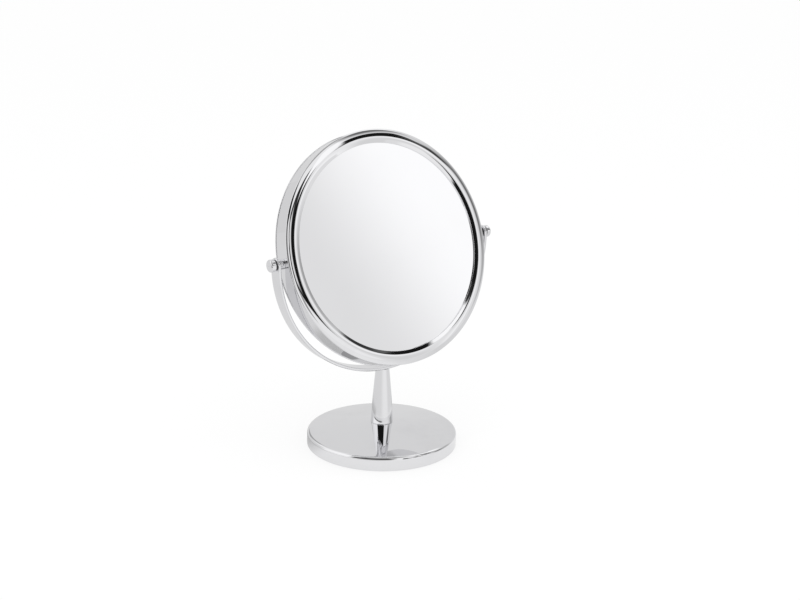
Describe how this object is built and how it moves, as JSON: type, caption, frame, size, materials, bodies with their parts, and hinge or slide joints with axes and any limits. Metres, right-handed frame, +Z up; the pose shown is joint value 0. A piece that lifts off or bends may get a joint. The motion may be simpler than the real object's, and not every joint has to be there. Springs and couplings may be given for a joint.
{
  "type": "magnifying mirror",
  "caption": "Round double-sided magnifying mirror that tilts right over in a half-round yoke, on a tapered stem and a weighted round base.",
  "frame": {"origin": "centre of the pad's underside, on the surface that the mirror stands on", "axes": "+Z up, +X along the tilt axis to the right of someone facing the plain glass, the plain glass faces -Y and leans back, the magnifying glass is on the far side"},
  "size_m": [0.2256, 0.131, 0.2743],
  "materials": {
    "chrome": "polished bright chrome plate",
    "mirror_glass": "clear polished glass, silvered behind",
    "black_nylon": "smooth moulded nylon",
    "plated_steel": "zinc plated",
    "cast_iron": "as cast",
    "foam_pad": "matt closed-cell foam",
    "foam_ring": "matt open-cell foam",
    "backing_board": "grey-brown pressed board"
  },
  "bodies": {
    "stand": {"base_cover": "chrome", "stem": "chrome", "yoke": "chrome", "left_bush": "black_nylon", "right_bush": "black_nylon", "base_bolt": "plated_steel", "base_washer": "plated_steel", "base_lock_washer": "plated_steel", "yoke_screw": "plated_steel", "base_weight": "cast_iron", "base_pad": "foam_pad"},
    "head": {"drum_band": "chrome", "front_bezel": "chrome", "rear_bezel": "chrome", "front_glass": "mirror_glass", "rear_glass": "mirror_glass", "backing_board": "backing_board", "foam_ring": "foam_ring", "left_pivot_screw": "chrome", "right_pivot_screw": "chrome", "left_collar": "chrome", "right_collar": "chrome", "left_friction_washer": "black_nylon", "right_friction_washer": "black_nylon", "left_pivot_nut": "plated_steel", "right_pivot_nut": "plated_steel"}
  },
  "joints": [
    {"name": "head_tilt", "type": "hinge", "parent": "stand", "child": "head", "pos_m": [0, 0, 0.177], "axis": [1, 0, 0], "continuous": true}
  ]
}
